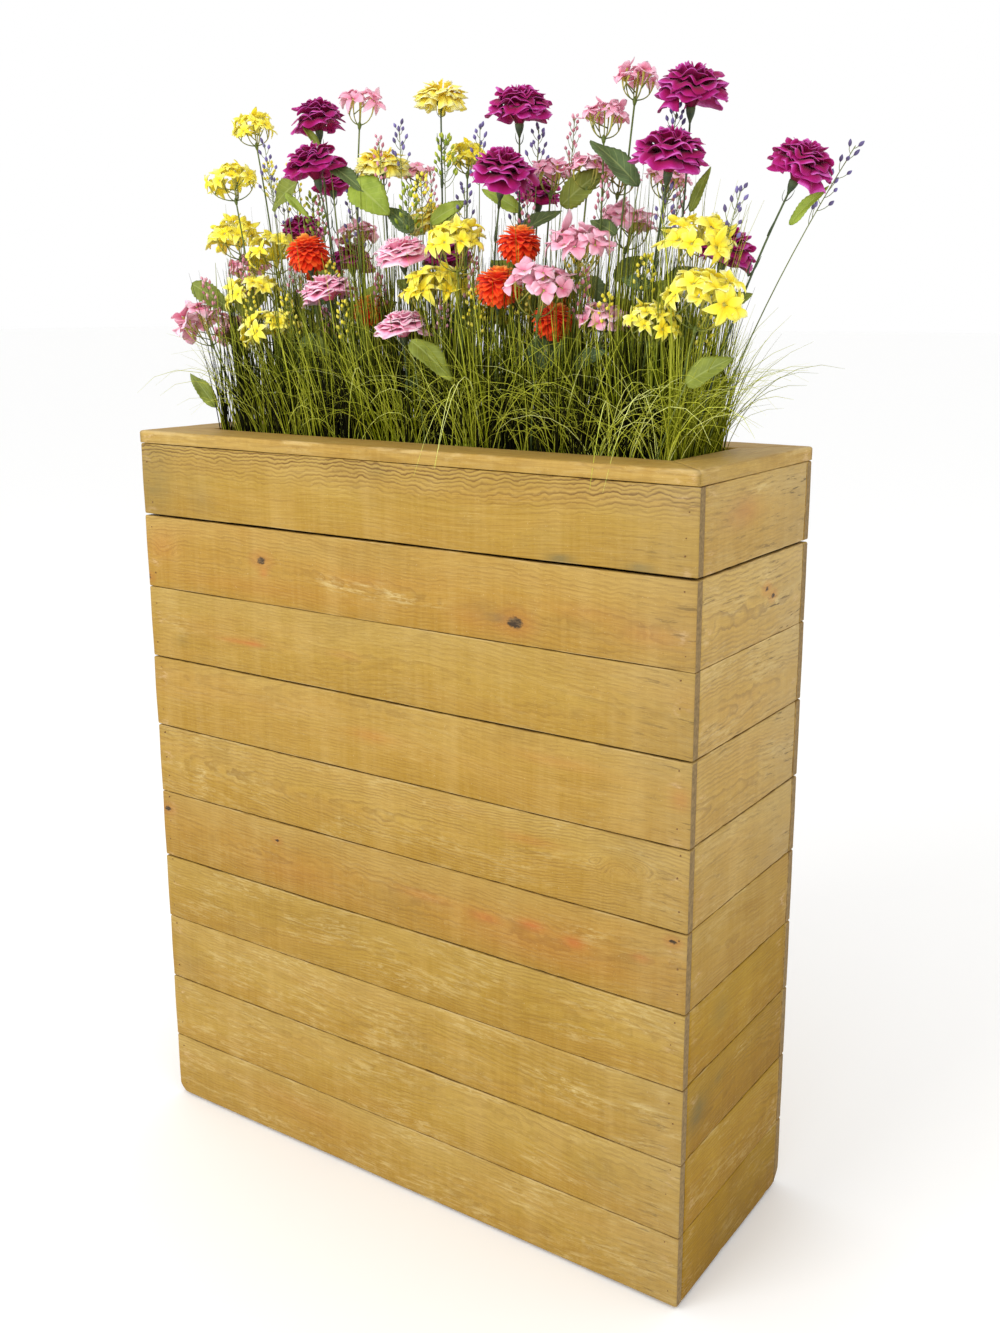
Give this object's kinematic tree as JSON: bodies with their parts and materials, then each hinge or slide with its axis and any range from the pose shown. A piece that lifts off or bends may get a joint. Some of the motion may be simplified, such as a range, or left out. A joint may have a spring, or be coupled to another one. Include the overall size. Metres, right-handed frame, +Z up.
{
  "type": "planted floor-standing timber planter",
  "caption": "Tall slim timber planter clad in horizontal pine boards with a mitred cap frame, filled with a bed of silk meadow flowers, leafy stems and grass.",
  "frame": {"origin": "middle of the underside of the base board, on the ground", "axes": "+X along the width, to the right seen from the front; +Y from the front wall to the back wall; +Z up"},
  "size_m": [0.9665, 0.3698, 1.4631],
  "materials": {
    "pine_boards": "planed softwood, honey yellow, matt wax, weathered",
    "rough_pine": "rough sawn softwood, untreated",
    "planting_foam": "matt open-cell foam, dark green",
    "greenery": "moulded stems, leaves and grass, satin green",
    "purple_silk": "matt woven petals, deep magenta purple",
    "pink_silk": "matt woven petals, soft pink",
    "yellow_silk": "matt woven petals, lemon yellow",
    "orange_silk": "matt woven petals, orange red"
  },
  "bodies": {
    "root": {"back_boards": "pine_boards", "base_board": "rough_pine", "cap_back": "pine_boards", "cap_front": "pine_boards", "cap_left": "pine_boards", "cap_right": "pine_boards", "carnation_pink_1": "pink_silk", "carnation_pink_2": "pink_silk", "carnation_pink_3": "pink_silk", "carnation_purple_1": "purple_silk", "carnation_purple_2": "purple_silk", "carnation_purple_3": "purple_silk", "carnation_purple_4": "purple_silk", "carnation_purple_5": "purple_silk", "carnation_purple_6": "purple_silk", "carnation_purple_7": "purple_silk", "carnation_purple_8": "purple_silk", "carnation_purple_9": "purple_silk", "cleat_back": "rough_pine", "cleat_front": "rough_pine", "front_boards": "pine_boards", "grass_and_stems": "greenery", "left_boards": "pine_boards", "mum_yellow_1": "yellow_silk", "mum_yellow_2": "yellow_silk", "planting_block": "planting_foam", "pompon_orange_1": "orange_silk", "pompon_orange_2": "orange_silk", "pompon_orange_3": "orange_silk", "pompon_orange_4": "orange_silk", "pompon_orange_5": "orange_silk", "post_back_left": "rough_pine", "post_back_right": "rough_pine", "post_front_left": "rough_pine", "post_front_right": "rough_pine", "right_boards": "pine_boards", "shelf": "rough_pine", "umbel_pink_1": "pink_silk", "umbel_pink_10": "pink_silk", "umbel_pink_11": "pink_silk", "umbel_pink_2": "pink_silk", "umbel_pink_3": "pink_silk", "umbel_pink_4": "pink_silk", "umbel_pink_5": "pink_silk", "umbel_pink_6": "pink_silk", "umbel_pink_7": "pink_silk", "umbel_pink_8": "pink_silk", "umbel_pink_9": "pink_silk", "umbel_yellow_1": "yellow_silk", "umbel_yellow_10": "yellow_silk", "umbel_yellow_11": "yellow_silk", "umbel_yellow_12": "yellow_silk", "umbel_yellow_2": "yellow_silk", "umbel_yellow_3": "yellow_silk", "umbel_yellow_4": "yellow_silk", "umbel_yellow_5": "yellow_silk", "umbel_yellow_6": "yellow_silk", "umbel_yellow_7": "yellow_silk", "umbel_yellow_8": "yellow_silk", "umbel_yellow_9": "yellow_silk"}
  },
  "joints": []
}
